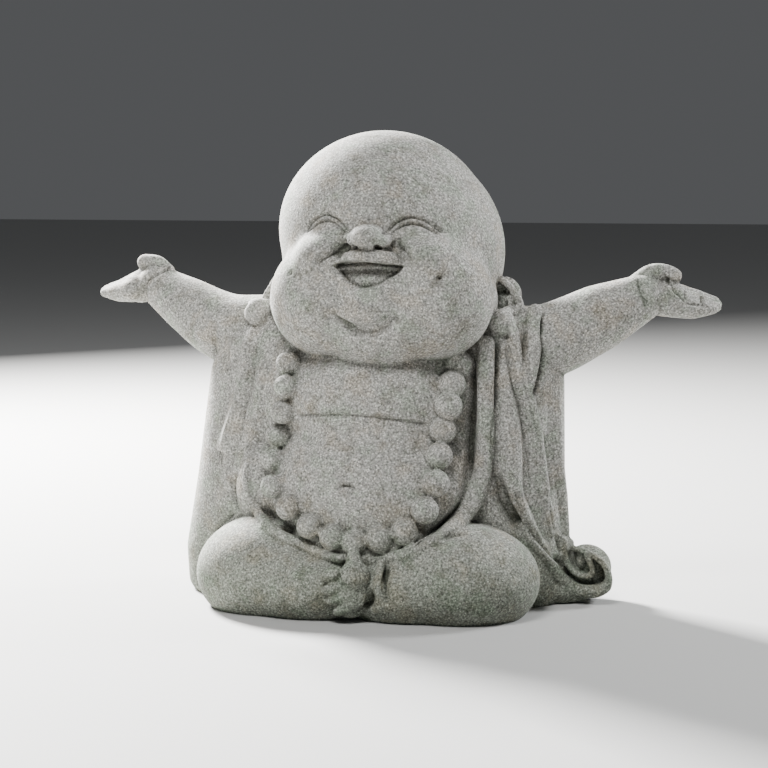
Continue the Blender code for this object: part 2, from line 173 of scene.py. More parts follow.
# The arms: short, thick, rising to both sides and swept a little back, ending at the wrists.
# Each is a chain of round pellets along a curve, fused into one smooth limb.
def spline(points, count):
    """Points evenly spread over a smooth curve through the given ones."""
    points = np.array(points, float)
    ends = np.vstack([2 * points[0] - points[1], points, 2 * points[-1] - points[-2]])
    at = np.linspace(0, len(points) - 1, count)
    first = np.minimum(at.astype(int), len(points) - 2)
    t = (at - first)[:, None]
    a, b, c, d = (ends[first + i] for i in range(4))
    bend, twist = 2 * a - 5 * b + 4 * c - d, 3 * b - a - 3 * c + d
    return 0.5 * (2 * b + (c - a) * t + bend * t**2 + twist * t**3)


def roll(clay, path, radii, pitch=0.35):
    """A roll of clay laid along a smooth curve, its radius changing on the way."""
    line = spline(path, 60)
    run = np.concatenate([[0], np.cumsum(np.linalg.norm(np.diff(line, axis=0), axis=1))])
    steps = max(2, round(run[-1] / (pitch * min(radii))))
    stops = np.linspace(0, 1, len(radii))
    for share in np.linspace(0, 1, steps):
        at = [float(np.interp(share * run[-1], run, line[:, axis])) for axis in range(3)]
        size = float(np.interp(share, stops, radii))
        lump(clay, at, (size, size, size), facets=2 if size < 3 else 3)


arms_clay = bmesh.new()
roll(arms_clay, [(-32, 4, 70), (-44, 6, 71), (-56, 10, 76.7), (-66.5, 14, 82.2)], [10.5, 9.6, 7.8, 5.4])
roll(arms_clay, [(32, 4, 68), (44, 6, 69), (57, 10, 75), (68.5, 14, 80.5)], [10.5, 10, 9.0, 6.2])
arms = fuse(object_from(arms_clay, "arms"), MASS_GRID, rounds=5)


# The cloak: it hangs from the arms like a curtain round the back and both sides, in shallow pleats.
# Its outline is given at a few heights: half width, middle in x and y, and half depth.
CLOAK = [
    (-4, 48, -1.5, 5, 22),
    (2, 52, -2, 5, 24),
    (12, 52.6, -2, 5, 24),
    (32, 50, -1.2, 5, 24),
    (60, 48, 0.5, 5, 22),
    (70, 45, 0, 6, 20),
    (78, 38, 0, 7, 16),
    (83, 26, 0, 8, 10),
]
CLOAK_SQUARENESS = 2.4
CLOAK_COLUMNS, CLOAK_ROWS = 160, 80
PLEAT_DEPTH = 1.1
PLEATS_ROUND = 9


def pleat(angle, z):
    """How far the cloak stands out at the back: shallow pleats that are deepest at the hem."""
    back = max(0.0, math.sin(angle))
    wave = math.sin(PLEATS_ROUND * angle + 0.6 * math.sin(2.3 * angle) + 0.012 * z)
    return PLEAT_DEPTH * back * wave * (1 - 0.55 * z / 80)


cloak_clay = bmesh.new()
bmesh.ops.create_cone(
    cloak_clay, cap_ends=True, segments=CLOAK_COLUMNS, radius1=1, radius2=1, depth=2
)
upright = [edge for edge in cloak_clay.edges if abs(edge.verts[0].co.z - edge.verts[1].co.z) > 1]
bmesh.ops.subdivide_edges(cloak_clay, edges=upright, cuts=CLOAK_ROWS, use_grid_fill=True)
heights, *columns = np.array(CLOAK, float).T
for vert in cloak_clay.verts:
    z = float(np.interp(vert.co.z, (-1, 1), (heights[0], heights[-1])))
    half, mid_x, mid_y, deep = (float(np.interp(z, heights, column)) for column in columns)
    angle = math.atan2(vert.co.y, vert.co.x)
    c, s = math.cos(angle), math.sin(angle)
    reach = (abs(c) ** CLOAK_SQUARENESS + abs(s) ** CLOAK_SQUARENESS) ** (-1 / CLOAK_SQUARENESS)
    out = pleat(angle, z)
    vert.co = (mid_x + (half + out) * reach * c, mid_y + (deep + out) * reach * s, z)
cloak = fuse(object_from(cloak_clay, "cloak"), MASS_GRID, rounds=4)


# The bead string: round beads of the same stone, strung over the chest and belly, with a drop.
# Each bead is laid on the front of the trunk, with its middle half a radius before the skin.
BEAD = 3.4
BEAD_GROWTH = 0.003
BEADS = [(-20.8, 64.0), (-20.5, 58.2), (-21.4, 51.6), (-23.4, 45.1), (-24.2, 39.2), (-23.2, 32.6)]
BEADS += [(-18, 27.7), (-12, 23.5), (-5.8, 21.1), (0, 19.9), (6.4, 20.8), (12.9, 22.8)]
BEADS += [(17.9, 28.3), (20.3, 35), (20.4, 41.5), (20.8, 47.9), (22.3, 54.2), (22.8, 59.5), (24.1, 64.2)]
DROP = (1.5, -37.7, 12.6)


def laid(skin, points, lift=0):
    """Lays the points of a drawing in x and z on the front of a mass, or a little before it."""
    found = [skin.ray_cast(Vector((x, -100, z)), Vector((0, 1, 0)))[0] for x, z in points]
    return np.array([(hit.x, hit.y - lift, hit.z) for hit in found if hit is not None])


def skin_of(thing):
    """A search tree over an object's faces."""
    mesh = thing.data
    return BVHTree.FromPolygons([v.co for v in mesh.vertices], [p.vertices[:] for p in mesh.polygons])


statue_clay = bmesh.new()
for x, y, z in laid(skin_of(trunk), BEADS, 0.5 * BEAD):
    size = BEAD * (1 + BEAD_GROWTH * x)
    lump(statue_clay, (x, y, z), (size, size, size))
roll(statue_clay, [(0.4, -34.6, 18.4), (1, -36.2, 15)], [1.4, 2.4])
lump(statue_clay, DROP, (3.9, 3.7, 3.7))
BEHIND_BEADS = [(-15, -27, 21), (-8, -29.5, 18), (0, -30.3, 17), (8, -30, 17.8), (15, -27.5, 21)]
roll(statue_clay, BEHIND_BEADS, [2.2, 2.2])


# The face: button nose, full upper lip over a wide laugh, and a small round chin.
# Lumps are laid on the finished head, so that their edges stay crisp.
NOSE_X = FACE_X - 0.7
lump(statue_clay, (NOSE_X, -27.6, 98.0), (4.3, 6.6, 2.8))
lump(statue_clay, (NOSE_X, -28.2, 97.1), (4.6, 5.4, 2.3))
for side in (-1, 1):
    lump(statue_clay, (NOSE_X + side * 4.1, -27.4, 96.7), (2.2, 4.1, 1.9))
lump(statue_clay, (FACE_X - 0.4, -24.6, 92.6), (9.6, 4.4, 3.2))
LIP = [(-10.2, -25, 90.8), (-5.8, -28.3, 92.2), (-1.8, -29.6, 92.8), (1.6, -29.6, 92.8)]
LIP += [(5.6, -28.6, 92.2), (9.6, -26, 90.8)]
roll(statue_clay, [(FACE_X + i, j, k) for i, j, k in LIP], [1.1, 1.6, 1.8, 1.8, 1.6, 1.1])
lump(statue_clay, (FACE_X - 1.4, -26, 78.2), (8.4, 5.4, 4.2))


# The ears: a thin rim round a hollow shell, and a heavy round lobe that hangs to the shoulder.
def ear(clay, at, lobe, side):
    """An ear round a middle point, on the side +1 or -1, with its lobe."""
    x, y, z = at
    rim = [(-3.8, 0.5, 4.2), (-2, 0.5, 5.2), (0, 0, 4.4), (2.4, -0.5, 2.2), (4.5, -0.5, -1.7)]
    rim += [(3.6, -1.5, -3.7)]
    inner = [(-3.8, -3, 4), (-4.1, -4.5, 1), (-3.2, -5, -2), (-1, -4.5, -4)]
    roll(clay, [(x + side * i, y + j, z + k) for i, j, k in rim], [0.9, 1.0, 1.0, 1.0, 1.1, 1.1])
    roll(clay, [(x + side * i, y + j, z + k) for i, j, k in inner], [1.0, 1.0, 1.0, 1.2])
    lump(clay, (x, y + 2.5, z + 0.3), (4.6, 1.7, 5.2))
    lump(clay, (x + side * 1.8, y + 0.6, z - 1), (1.4, 1.4, 2.6), turn=(0, side * 20, 0))
    roll(clay, [(x + side * 1.8, y - 1.5, z - 3.6), (lobe[0], lobe[1] + 1.5, lobe[2] + 2)], [1.8, 1.8])
    lump(clay, lobe, (3.8, 3.7, 3.8))


ear(statue_clay, (33, 0.5, 80.7), (33.7, -6.5, 74.3), 1)
ear(statue_clay, (-27.2, 1, 81), (-31.9, -6, 76.4), -1)


# The hands: open, palm up, four fingers held together and the thumb bent over the palm.
def hand(clay, palm, size, root, tip, spread, radii, thumb, thumb_radii):
    """A palm, a thumb, and four fingers side by side that close up towards the tips."""
    lump(clay, palm, size)
    root, tip, spread = np.array(root), np.array(tip), np.array(spread)
    for shift in (-1, -0.33, 0.33, 1):
        first = root + shift * spread
        last = tip + 0.75 * shift * spread - (0.6 * shift) ** 2 * (tip - root) * 0.2
        roll(clay, [first, (first + last) / 2 - (0, 0, 0.3), last], radii)
    roll(clay, thumb, thumb_radii)


hand(
    statue_clay,
    palm=(74.2, 16.5, 80),
    size=(6.4, 6.2, 4.9),
    root=(76, 17, 79.6),
    tip=(87.6, 20, 78.0),
    spread=(0, 4, 1.2),
    radii=[3.2, 2.8, 1.3],
    thumb=[(66.4, 14.3, 85), (70.6, 15.5, 86.8), (74.3, 16, 86.8), (76.4, 16, 86.1)],
    thumb_radii=[1.8, 2.5, 2.5, 2.1],
)
hand(
    statue_clay,
    palm=(-71.5, 15.5, 81.1),
    size=(5.4, 5.6, 4.2),
    root=(-73, 16, 81.2),
    tip=(-83.4, 19.5, 80),
    spread=(0, 3.9, 0.8),
    radii=[3.2, 2.5, 1.2],
    thumb=[(-62.4, 13.5, 86.4), (-66.4, 15, 88.1), (-70.4, 16, 88.1)],
    thumb_radii=[1.2, 2.0, 2.4],
)
# the right palm is full up to the thumb, so the hand tapers as one wedge
roll(statue_clay, [(-70.5, 16, 83.2), (-75.5, 17, 81.6), (-80, 18.8, 80.3)], [3.4, 2.8, 1.9])


# The foot and the hem of the trouser leg, which show between the shins under the drop.
# The toes lie one below the other, and the cloth's edge stands beside a deep dark slot.
TOES = [(-4.6, 12.7, 2.9, 1.8), (-4.0, 9.2, 3.2, 1.6), (-3.3, 6.3, 3.1, 1.35), (-1.5, 3.7, 3.0, 1.4)]
TOE_TILT = -22
lump(statue_clay, (-0.3, -35.6, 7.5), (5.3, 4.1, 6.6))
lump(statue_clay, (1.8, -36.8, 7.4), (3.6, 2.2, 4.2))
for x, z, length, thick in TOES:
    lump(statue_clay, (x, -38.4, z), (length, 1.8, thick), turn=(0, TOE_TILT, 0))
CUFF = [(7.9, -35.6, 15.6), (7.6, -36.8, 12.6), (7.6, -37.3, 9.6), (8.0, -37.4, 6.6), (9.6, -37.2, 4.1)]
CUFF += [(12.5, -37, 2.4)]
roll(statue_clay, CUFF, [1.1, 1.3, 1.3, 1.3, 1.3, 1.0])


# The robe: a turned edge runs round the belly, and long folds fall from the left shoulder.
# Each fold is a roll of clay laid on the masses, with a lift before them; the valleys are cut later.
lump(statue_clay, (-28.4, -12.6, 31), (7.7, 9.2, 12.5), facets=4)
front_clay = statue_clay.copy()
for mass in (trunk, head, right_leg, left_leg, arms, cloak):
    front_clay.from_mesh(mass.data)
front = BVHTree.FromBMesh(front_clay)
front_clay.free()
FOLDS = [
    # the turned edge: a thin cord on the right side and under the belly, a broad band on the left
    ([(-30.4, 41), (-31.4, 36.4), (-31, 31), (-28.9, 26), (-24.6, 23)], (0.5, 0.9, 1.1, 1.3, 1.4), 0.5),
    ([(-24.6, 23), (-19.4, 20.8), (-14.5, 18.9), (-8.5, 16.9), (-3.1, 15.8)],
     (1.4, 1.4, 1.3, 1.2, 1.2), 1.7),
    ([(-3.1, 15.8), (5, 15.4), (11, 16.6), (17.6, 19.3), (22.8, 22.3), (26.4, 26), (28.9, 30.6),
      (30.3, 35.9), (31, 42)],
     (1.2, 1.5, 1.7, 1.9, 2.1, 2.3, 2.4, 2.4, 2.4), 0.5),
    ([(31, 42), (31, 50), (30.8, 56), (30.7, 62), (30.5, 69.5)], (2.4, 2.4, 2.4, 2.4, 2.3), 0.7),
    # the folds of the left side, from the belly outward
    ([(34.4, 69), (34.6, 66), (35.1, 61), (36, 54), (36.6, 46), (36.9, 39), (37.2, 34), (38.3, 28.4)],
     (1.5, 1.7, 2.0, 2.8, 3.3, 3.4, 3.1, 2.5), -0.5),
    ([(36.9, 73), (37.7, 68), (39.2, 62), (41.4, 54), (42.9, 47), (43.9, 40), (44.7, 34),
      (45.8, 27), (47.2, 19.5)],
     (1.4, 1.7, 1.9, 1.9, 1.8, 1.8, 1.7, 1.6, 1.3), -0.1),
    ([(41.5, 76.8), (42.1, 69.2), (42, 62.3), (41.8, 57)], (2.5, 2.2, 1.7, 0.8), 0.3),
    ([(47.6, 56), (47.6, 45), (47.9, 36.8), (48.6, 28), (49.5, 19)], (0.9, 1.6, 1.9, 2.0, 1.6), -0.7),
]
for path, radii, lift in FOLDS:
    roll(statue_clay, laid(front, path, lift), radii)


# The swept hem: at the left side the cloak's corner is blown outward and curls up like a wave.
# A thick rim and the curl inside it stand before a hollow floor, repeated in depth as one sheet.
SLICES, SLICE_STEP, FIRST_SLICE, SLICE_SHRINK = 7, 1.5, -1.2, 0.025
MIDDLE_X, MIDDLE_Z = 54, 2
# points of the drawing in x and z, with the radius there
RIM = [(52.2, 15.0, 0.8), (54.6, 14.3, 0.75), (56.7, 13.7, 0.75), (58.5, 12.5, 0.8), (60.2, 11, 0.85)]
RIM += [(61.3, 9.2, 0.9), (61.7, 7.5, 1.0), (61.6, 6, 1.2), (60.9, 4.7, 1.5), (59.3, 3.9, 1.8)]
RIM += [(57.2, 3.5, 1.9), (55, 3.5, 1.9), (52.7, 4, 1.9), (50.6, 5.3, 1.9)]
RIDGE = [(50.6, -1.6, 5.3), (48.8, -3, 7.6), (47.4, -4.6, 10.2), (46.2, -6.2, 12.9), (44.1, -8, 16)]
RIDGE += [(42.2, -9.4, 19.5), (40.8, -10.4, 23), (39.1, -11.2, 27.5), (38, -11.6, 31)]
CURL = [(49.4, 17, 1.3), (49.7, 14, 1.2), (50.5, 11.6, 1.1), (51.8, 9.4, 1.0), (53.6, 8, 0.95)]
CURL += [(55.5, 7.5, 0.9), (57, 8, 0.85), (57.4, 9.3, 0.8), (56.8, 10.9, 0.8), (56.1, 12.3, 0.8)]
CURL += [(55.8, 13.6, 0.8)]
for i in range(SLICES):
    shrink = 1 - SLICE_SHRINK * i
    y = SLICE_STEP * i + FIRST_SLICE
    for line in (RIM, CURL):
        across = [MIDDLE_X + (x - MIDDLE_X) * shrink for x, _, _ in line]
        up = [MIDDLE_Z + (z - MIDDLE_Z) * shrink for _, z, _ in line]
        roll(statue_clay, [(x, y, z) for x, z in zip(across, up)], [size for _, _, size in line])
roll(statue_clay, RIDGE, [1.9, 1.9, 1.9, 2.0, 2.2, 2.4, 2.5, 2.5, 2.3])
lump(statue_clay, (55, 6.4, 8.6), (6.6, 5.6, 6.2))
lump(statue_clay, (54, 1.6, 11.8), (1.5, 2.4, 2.8))
lump(statue_clay, (51.4, 3.4, 10.8), (2.2, 2.4, 3.8))
roll(statue_clay, [(43, 0, 5), (48, 0, 4), (54, 1.5, 2.5)], [5.4, 4.2, 2.4])


# The casting: all masses become one skin of stone, which is then carved.
# Strokes cut the skin along lines or raise it, and presses push it back inside an outline.
CARVING_GRID = 0.36
TRIANGLES = 190000


def measured(places, path):
    """How far each place is from a path of straight runs, how far along it lies, and the path's length."""
    nearest = np.full(len(places), 1e9)
    along = np.zeros(len(places))
    total = 0
    for a, b in zip(path, path[1:]):
        length = np.linalg.norm(b - a)
        share = np.clip((places - a) @ (b - a) / max(length**2, 1e-9), 0, 1)
        away = np.linalg.norm(places - a - share[:, None] * (b - a), axis=1)
        closer = away < nearest
        nearest[closer] = away[closer]
        along[closer] = total + share[closer] * length
        total += length
    return nearest, along, total


for mass in (trunk, head, right_leg, left_leg, arms, cloak):
    statue_clay.from_mesh(mass.data)
    bpy.data.objects.remove(mass)
statue = fuse(object_from(statue_clay, "stone_monk"), CARVING_GRID, rounds=2)

skin = skin_of(statue)
places = np.zeros(3 * len(statue.data.vertices), np.float32)
statue.data.vertices.foreach_get("co", places)
places = places.reshape(-1, 3).astype(float)
normals = np.array([normal.vector[:] for normal in statue.data.vertex_normals], float)


def front_path(points):
    """A smooth line drawn in x and z, laid on the front of the figure without jumps in depth."""
    path = laid(skin, spline([(x, 0, z) for x, z in points], 40)[:, (0, 2)])
    for _ in range(6):
        path[1:-1, 1] = (path[:-2, 1] + 2 * path[1:-1, 1] + path[2:, 1]) / 4
    return path


def stroke(path, width, depth, fade=2.0):
    """Cuts the skin along a path, softly to both sides and fading at its ends; depth below 0 raises it."""
    near = np.all((places > path.min(axis=0) - width) & (places < path.max(axis=0) + width), axis=1)
    away, along, total = measured(places[near], path)
    amount = depth * np.clip(1 - away / width, 0, 1) ** 1.4
    if fade:
        amount *= np.clip(np.minimum(along, total - along) / (fade * width), 0, 1) ** 0.7
    places[near] -= normals[near] * amount[:, None]


def press(outline, edge, depth):
    """Pushes the skin back inside an outline drawn on the front, with walls as wide as the edge."""
    ring = spline([(x, 0, z) for x, z in outline + outline[:1]], 80)
    flat = places * (1, 0, 1)
    near = np.all((flat >= ring.min(axis=0)) & (flat <= ring.max(axis=0)), axis=1) & (places[:, 1] < -5)
    spots = flat[near]
    within = np.zeros(len(spots), bool)
    for a, b in zip(ring, ring[1:]):
        crosses = (a[2] > spots[:, 2]) != (b[2] > spots[:, 2])
        at = a[0] + (spots[:, 2] - a[2]) * (b[0] - a[0]) / (b[2] - a[2] if b[2] != a[2] else 1)
        within ^= crosses & (spots[:, 0] < at)
    share = np.clip(measured(spots, ring)[0] / edge, 0, 1) * within
    places[near, 1] += depth(spots[:, 0], spots[:, 2]) * share * share * (3 - 2 * share)


def mouth_depth(x, z):
    """The open mouth is deepest under the upper lip, and the tongue swells in the lower half."""
    tongue = np.exp(-(((x - FACE_X) / 5.5) ** 2) - ((z - 86.9) / 1.9) ** 2)
    gum = np.exp(-(((z - 90.1 + 0.012 * (x - FACE_X) ** 2) / 0.65) ** 2))
    return 2.3 + 1.2 * np.clip((z - 88.2) / 2, 0, 1) - 1.2 * tongue - 1.2 * gum


MOUTH_EDGE = 0.65
MOUTH = [(-6.6, 90.2), (-3.6, 91.5), (0, 91.6), (3.5, 91.3), (7, 90.8), (12, 90.3)]
MOUTH += [(10.4, 88.1), (8, 86.4), (5.9, 85), (2.6, 84.2), (-0.3, 84.5), (-2.8, 85.8), (-5, 88)]
press(MOUTH, MOUTH_EDGE, mouth_depth)

# the deep gap between the left beads and the robe's broad band
GAP_EDGE, GAP_DEPTH = 1.1, 2.8
GAP = [(27.9, 67), (28.8, 60), (29, 54), (28.8, 47), (28.5, 40), (28, 34.5), (26.7, 29.9), (24, 25.2)]
GAP += [(20, 21.5), (15.6, 19), (17.6, 22), (21.8, 26.2), (24.4, 30.6), (25.4, 35.5), (25.4, 42)]
GAP += [(25.6, 50), (26.4, 57), (26.6, 63)]
press(GAP, GAP_EDGE, lambda x, z: GAP_DEPTH)

# the eyes: two shut lids each, drawn as arcs
LID_WIDTH, LID_DEPTH = 0.95, 1.25
EYES = [
    [(-16, 98.3), (-13.6, 100.9), (-11.4, 102.4), (-9.4, 102.9), (-6.2, 101.6), (-3, 98.6)],
    [(-15.2, 98.4), (-12.4, 100.4), (-9.2, 101.3), (-6.4, 100.4), (-3.6, 98)],
    [(7, 98.3), (9.4, 100.9), (12.8, 102.4), (16.6, 101.4), (21, 98.4)],
    [(8, 98.2), (10.6, 100), (13.4, 100.8), (16.6, 100), (20.2, 98)],
]
for line in EYES:
    stroke(front_path(line), LID_WIDTH, LID_DEPTH, fade=1.2)

# the cheeks stand out beside a furrow from the nose to each mouth corner
stroke(front_path([(-2.6, 97.8), (-3.8, 95.4), (-6.2, 93.2), (-9, 91.4), (-10.2, 89.4)]), 3.0, 2.5, fade=0.8)
stroke(front_path([(9.4, 96.9), (11, 94.8), (12.8, 92.6), (14, 90.2)]), 2.6, 1.8, fade=1.0)
# small round pits at x and z, with width and depth: mouth corners, nostrils, cheeks and the left ear
PITS = [(-8.8, 89.9, 3.0, 1.6), (13.2, 90.2, 2.4, 1.3), (-0.4, 95.3, 1.1, 0.7), (5.6, 95.3, 1.1, 0.7)]
PITS += [(-18.2, 88, 1.0, 0.7), (21.4, 87.3, 1.2, 1.3), (32.8, 82.2, 1.9, 1.8), (33, 78.8, 1.7, 1.8)]
for x, z, width, depth in PITS:
    stroke(laid(skin, [(x - 0.2, z), (x + 0.2, z)]), width, depth, fade=0)

# fine grooves run down the drop
GROOVE_WIDTH, GROOVE_DEPTH = 0.6, 0.5
for turn in range(-80, 81, 20):
    out = math.sin(math.radians(turn))
    groove = [(2 * out, 3), (3.8 * out, 0), (2.2 * out, -2.8)]
    stroke(front_path([(DROP[0] + x, DROP[2] + z) for x, z in groove]), GROOVE_WIDTH, GROOVE_DEPTH, fade=1)

# lines drawn in x and z, with width and depth
CREASES = [
    # over the chin, across the chest, the navel and the right shoulder
    ([(-7.4, 79), (-5.6, 77.2), (-2.7, 75.2), (1.5, 73.7), (6.4, 74.1), (9.2, 76), (10.6, 78)], 2.8, 1.2),
    ([(-19, 50.6), (-9, 51.5), (0, 51.6), (10, 50.6), (18, 49)], 1.1, 0.9),
    ([(-5.4, 33.2), (-3.2, 34.3), (-1.2, 34.3), (1.4, 33.2)], 1.4, 1.5),
    ([(-2.6, 32.9), (-0.4, 32.5), (1.8, 33.1)], 1.0, 0.8),
    ([(-34.3, 79), (-36.2, 76.9), (-37.8, 74.7)], 1.5, 0.9),
    # the right side of the robe: two raised edges that lap over each other, the valleys beside them
    ([(-33.4, 72.5), (-34, 66.7), (-34.4, 60.3), (-35.9, 53.8), (-37.7, 48.8), (-39.6, 43.8),
      (-41.4, 38.8)], 3.2, -1.5),
    ([(-28.8, 67.7), (-29.1, 60.6), (-29.8, 53.4), (-30.6, 48.5), (-31.9, 42), (-33.8, 37.1)], 2.6, -1.2),
    ([(-31.6, 71), (-31.8, 64.4), (-32.4, 57.3), (-34.1, 50.7), (-35.4, 44.2), (-37.4, 38.4),
      (-38.9, 32.6)], 2.0, 1.0),
    ([(-37, 69), (-37.6, 62), (-39, 55), (-41.4, 47), (-44, 40)], 3.2, 0.6),
    # the hip, the knee and the sleeve
    ([(-32.3, 40.5), (-34.6, 36), (-36.2, 31), (-36.5, 27), (-35.5, 24.2)], 2.0, 1.5),
    ([(-35.5, 24.2), (-38.3, 22), (-41.7, 19.1), (-44.7, 15.7)], 1.6, 1.1),
    ([(-44.8, 74.9), (-44.9, 69.2), (-45.6, 62.4)], 1.3, 0.8),
    ([(22, 21.2), (25.5, 22.3), (29.3, 22.4)], 1.4, 0.8),
    # the left side of the robe, from the belly outward
    ([(33.1, 72), (33.2, 61.8), (33.2, 54), (33.1, 46.1), (33.1, 38), (34, 33)], 1.2, 0.8),
    ([(33.8, 36), (34.4, 32), (35.6, 28), (38.4, 23.6), (43.2, 18.8)], 3.4, 2.2),
    ([(35.4, 69), (37.1, 60.2), (39, 53.8), (40.4, 45.8), (41.4, 39.4), (42.2, 33)], 1.1, 0.8),
    ([(38.9, 76.5), (40, 64.7), (41, 56.9), (42.3, 51.3), (43.8, 45.6), (44.8, 39.1)], 1.2, 0.9),
    ([(45.2, 46), (46.4, 36), (47.2, 26.1), (48.2, 18.8), (49, 14)], 1.5, 0.9),
    ([(38.6, 32), (39.8, 27.5), (41.2, 22.9), (43.1, 19.7), (45.4, 17), (47.9, 13.5), (49.6, 9.9)],
     1.6, 1.4),
    ([(46.2, 60), (46.2, 52), (46.4, 44), (46.9, 36)], 3.2, 0.8),
    ([(43.9, 76.9), (44.1, 69.2), (43.7, 62.2), (42.6, 56)], 1.3, 1.2),
    # the slot beside the foot, and the slit in the trouser leg
    ([(5.5, 9.6), (5.7, 7.1), (5.1, 4.8), (3.5, 3.5), (1.6, 2.3)], 1.5, 2.4),
    ([(9.6, 15), (9.3, 11), (9.4, 7.6), (10.3, 5.2)], 1.1, 1.7),
    # the wrists and the fingers
    ([(-62, 87.1), (-65.5, 85.2), (-68, 83.7), (-68.5, 80.7), (-68.3, 77.2)], 1.3, 1.8),
    ([(67.3, 85.5), (68.4, 82.8), (69.6, 80.2), (70.2, 76.8)], 1.2, 1.4),
    ([(73.9, 87.2), (74.4, 85.6), (75.6, 84.2), (77.6, 84.6)], 1.2, 0.9),
    ([(75.8, 84.2), (77, 82.2), (78.6, 81), (80, 79.5), (82.4, 78.8), (84, 78.9), (85.7, 77.4)],
     1.0, 1.1),
    ([(79.5, 82.6), (79.8, 81), (80, 79.6)], 0.9, 1.1),
    ([(83.3, 81.2), (83.7, 79.9), (83.9, 78.9)], 0.9, 1.1),
]
for line, width, depth in CREASES:
    stroke(front_path(line), width, depth)

statue.data.vertices.foreach_set("co", places.astype(np.float32).ravel())
statue.data.update()


# The flat underside: the casting is ground off level, so that it sits firmly by its own weight.
thin = statue.modifiers.new("thin out", "DECIMATE")
thin.ratio = TRIANGLES / sum(len(polygon.vertices) - 2 for polygon in statue.data.polygons)
apply_modifiers(statue)
stone = bmesh.new()
stone.from_mesh(statue.data)
bmesh.ops.bisect_plane(
    stone,
    geom=stone.verts[:] + stone.edges[:] + stone.faces[:],
    dist=1e-4,
    plane_co=(0, 0, 0),
    plane_no=(0, 0, 1),
    clear_inner=True,
)
bmesh.ops.holes_fill(stone, edges=[edge for edge in stone.edges if edge.is_boundary], sides=0)
bmesh.ops.triangulate(stone, faces=[face for face in stone.faces if len(face.verts) > 4])
stone.to_mesh(statue.data)
stone.free()
statue.data.transform(Matrix.Scale(UNIT, 4))
statue.data.shade_smooth()


# Grime and painted shade are kept at each vertex: the hollows get grime with painted shade, and surfaces
# that face down get painted shade.
# A hollow is where the neighbourhood, averaged a number of times, stands out above a vertex.
CREASE_DEPTH, CREASE_ROUNDS = 0.00032, 4
HOLLOW_DEPTH, HOLLOW_ROUNDS = 0.0011, 40
HOLLOW_SHARE, PAINTED_UNDERSIDE_SHADE_SHARE, PAINTED_UNDERSIDE_SHADE_FROM = 0.6, 0.4, 0.15


def averaged(values, edges, rounds):
    """The values of a mesh's vertices, each averaged with its neighbours a number of times."""
    count = np.bincount(edges.ravel(), minlength=len(values))[:, None]
    for _ in range(rounds):
        total = np.stack(
            [
                np.bincount(edges[:, 0], column[edges[:, 1]], len(values))
                + np.bincount(edges[:, 1], column[edges[:, 0]], len(values))
                for column in values.T
            ],
            axis=1,
        )
        values = 0.5 * values + 0.5 * total / np.maximum(count, 1)
    return values


places = np.zeros(3 * len(statue.data.vertices), np.float32)
statue.data.vertices.foreach_get("co", places)
places = places.reshape(-1, 3).astype(float)
normals = np.array([normal.vector[:] for normal in statue.data.vertex_normals], float)
edges = np.zeros(2 * len(statue.data.edges), np.int32)
statue.data.edges.foreach_get("vertices", edges)
edges = edges.reshape(-1, 2)
# the hollows: partly real grime, partly painted shade where shade falls in them
near_hollow = np.sum((averaged(places, edges, CREASE_ROUNDS) - places) * normals, axis=1) / CREASE_DEPTH
far_hollow = np.sum((averaged(places, edges, HOLLOW_ROUNDS) - places) * normals, axis=1) / HOLLOW_DEPTH
hollow = averaged(np.clip(np.stack([near_hollow, far_hollow], axis=1), 0, 1), edges, 1)
dirt_and_painted_shade = statue.data.attributes.new("dirt_and_painted_shade", "FLOAT", "POINT")
# painted shade under surfaces that face down, as if the light from above did not reach them
painted_underside_shade = PAINTED_UNDERSIDE_SHADE_SHARE * np.clip(-normals[:, 2] - PAINTED_UNDERSIDE_SHADE_FROM, 0, 1)
dirt_and_painted_shade_amount = np.clip(HOLLOW_SHARE * hollow[:, 0] + HOLLOW_SHARE * hollow[:, 1] + painted_underside_shade, 0, 1)
dirt_and_painted_shade.data.foreach_set("value", dirt_and_painted_shade_amount.astype(np.float32))

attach(statue, "root")
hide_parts("monk_statue")


# The sandstone: light warm grey, matt, with a soft salt-and-pepper grain and a few pale crystals.
# Broad warm and green stains run through it, the foot of the figure is damp, the hollows hold grime and
# painted shade, and the undersides hold painted shade.
GRAIN = 0.00052
CRYSTAL = 0.0011
STAIN = 0.007
SMUDGE = 0.0045
DAMP_FROM, DAMP_TO = 0.036, 0.006
GRAIN_SHADES = [(0.3, (0.10, 0.10, 0.092)), (0.44, (0.235, 0.232, 0.215)), (0.56, (0.34, 0.336, 0.312))]
GRAIN_SHADES += [(0.7, (0.62, 0.612, 0.575))]
PALE_CRYSTAL = (0.80, 0.79, 0.74, 1)
WARM_STAIN, GREEN_STAIN = (1.0, 0.945, 0.88, 1), (0.86, 0.93, 0.86, 1)
SMUDGE_SHADE = (0.74, 0.73, 0.69, 1)
# the second shade darkens the hollows with grime and painted shade, and the undersides with painted shade
DAMP_SHADE, DIRT_AND_PAINTED_SHADE = (0.66, 0.71, 0.64, 1), (0.20, 0.205, 0.18, 1)
STONE_ROUGHNESS, STONE_SHEEN = 0.88, 0.3
GRAIN_RELIEF, GRAIN_HEIGHT = 0.6, 0.00012

sandstone = bpy.data.materials.new("sandstone")
sandstone.use_nodes = True
nodes, links = sandstone.node_tree.nodes, sandstone.node_tree.links
shader = nodes["Principled BSDF"]
shader.inputs["Roughness"].default_value = STONE_ROUGHNESS
shader.inputs["Specular IOR Level"].default_value = STONE_SHEEN
place = nodes.new("ShaderNodeTexCoord")


